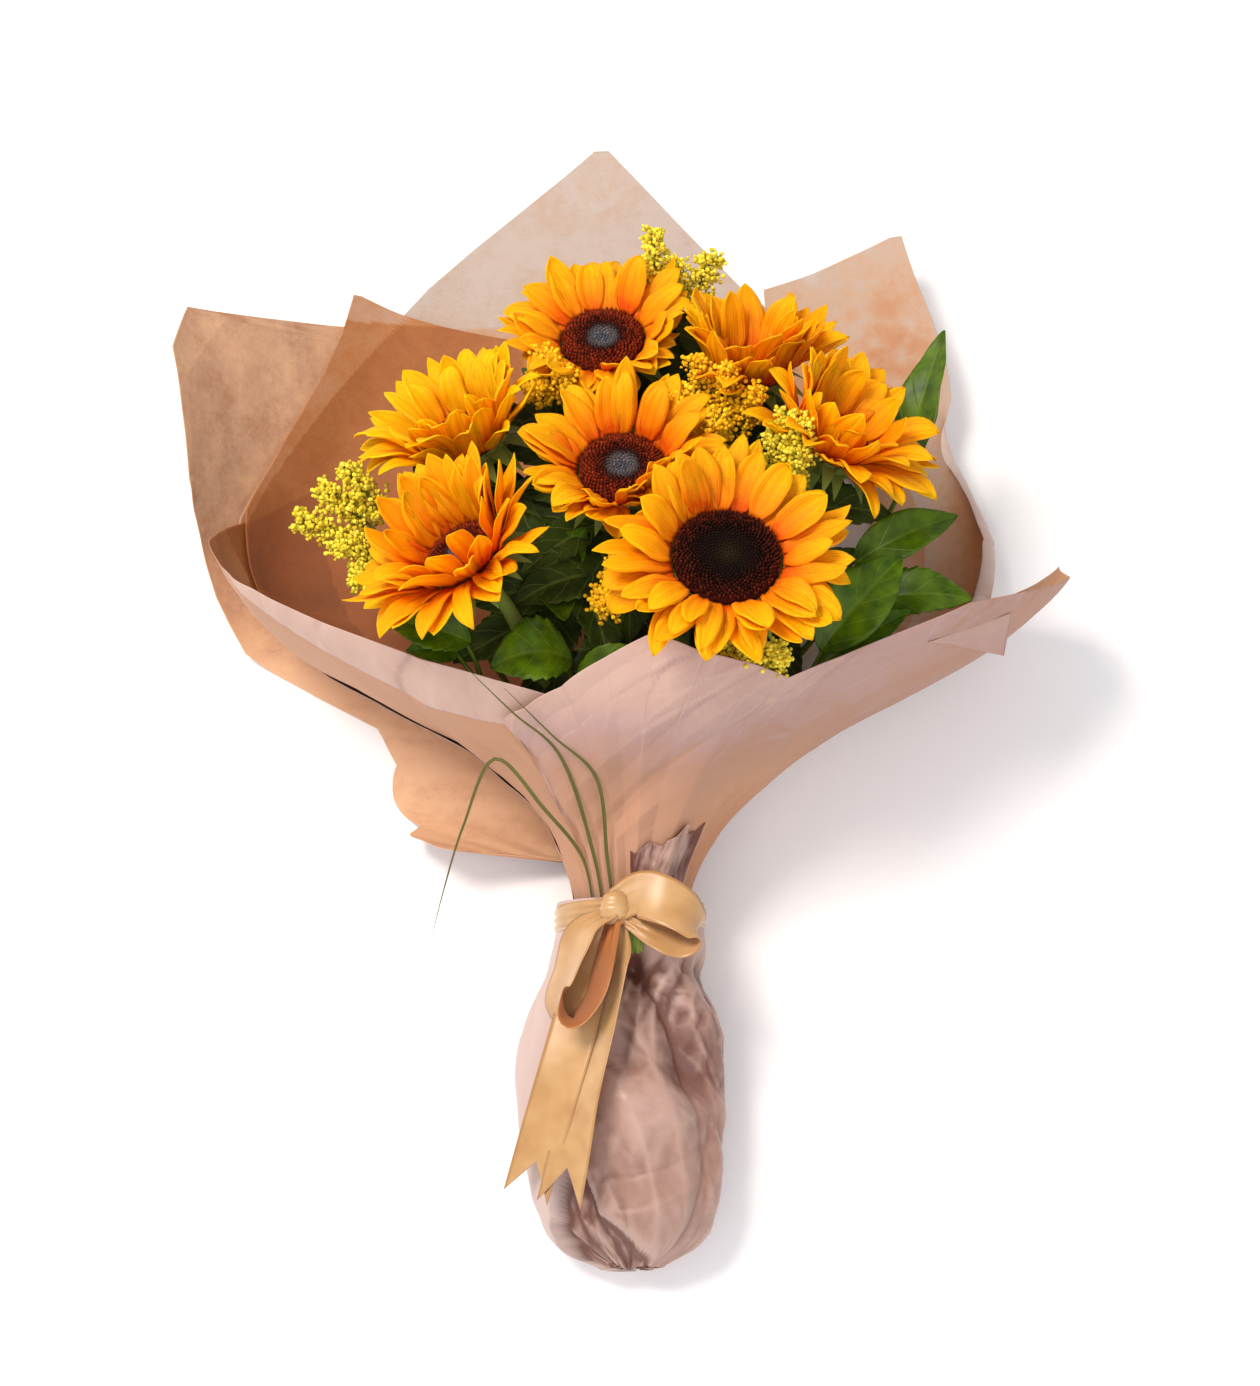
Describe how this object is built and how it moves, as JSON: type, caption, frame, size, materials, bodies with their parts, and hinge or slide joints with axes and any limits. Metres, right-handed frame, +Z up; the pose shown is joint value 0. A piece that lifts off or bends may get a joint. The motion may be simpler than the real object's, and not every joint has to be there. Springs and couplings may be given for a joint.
{
  "type": "sunflower bouquet",
  "caption": "A wrapped bunch of sunflowers with goldenrod and leaves, in layered kraft paper tied with a satin ribbon, lying on its back.",
  "frame": {"origin": "On the table, under the middle of the bunch's bounding box.", "axes": "+Y from the cut stems to the flowers, +Z up from the table, +X to the right of someone who looks at the bunch from its stem end."},
  "size_m": [0.4574, 0.6512, 0.215],
  "materials": {
    "golden_petal": "satin",
    "lemon_petal": "satin",
    "florets": "matte",
    "stem": "matte",
    "goldenrod": "matte",
    "leaf": "satin",
    "grass": "matte",
    "kraft_paper": "matte",
    "pale_kraft_paper": "matte",
    "bag_paper": "satin",
    "satin": "satin"
  },
  "bodies": {
    "root": {"sunflower_1_petals": "golden_petal", "sunflower_1_disc": "florets", "sunflower_1_stem": "stem", "sunflower_2_petals": "golden_petal", "sunflower_2_disc": "florets", "sunflower_2_stem": "stem", "sunflower_3_petals": "golden_petal", "sunflower_3_disc": "florets", "sunflower_3_stem": "stem", "sunflower_4_petals": "golden_petal", "sunflower_4_disc": "florets", "sunflower_4_stem": "stem", "sunflower_5_petals": "lemon_petal", "sunflower_5_disc": "florets", "sunflower_5_stem": "stem", "sunflower_6_petals": "golden_petal", "sunflower_6_disc": "florets", "sunflower_6_stem": "stem", "sunflower_7_petals": "golden_petal", "sunflower_7_disc": "florets", "sunflower_7_stem": "stem", "goldenrod_left": "goldenrod", "goldenrod_back": "goldenrod", "goldenrod_back_left": "goldenrod", "goldenrod_middle": "goldenrod", "goldenrod_right": "goldenrod", "goldenrod_centre": "goldenrod", "goldenrod_front": "goldenrod", "leaves_right": "leaf", "leaves_front_right": "leaf", "leaves_back_right": "leaf", "leaves_front_left": "leaf", "leaves_left": "leaf", "leaves_middle": "leaf", "grass_long": "grass", "grass_upright": "grass", "grass_short": "grass", "wrap_left_inner": "kraft_paper", "wrap_left_front": "kraft_paper", "wrap_right": "kraft_paper", "wrap_back": "kraft_paper", "wrap_left_outer": "kraft_paper", "wrap_front": "pale_kraft_paper", "stem_bag": "bag_paper", "satin_ribbon": "satin"}
  },
  "joints": []
}
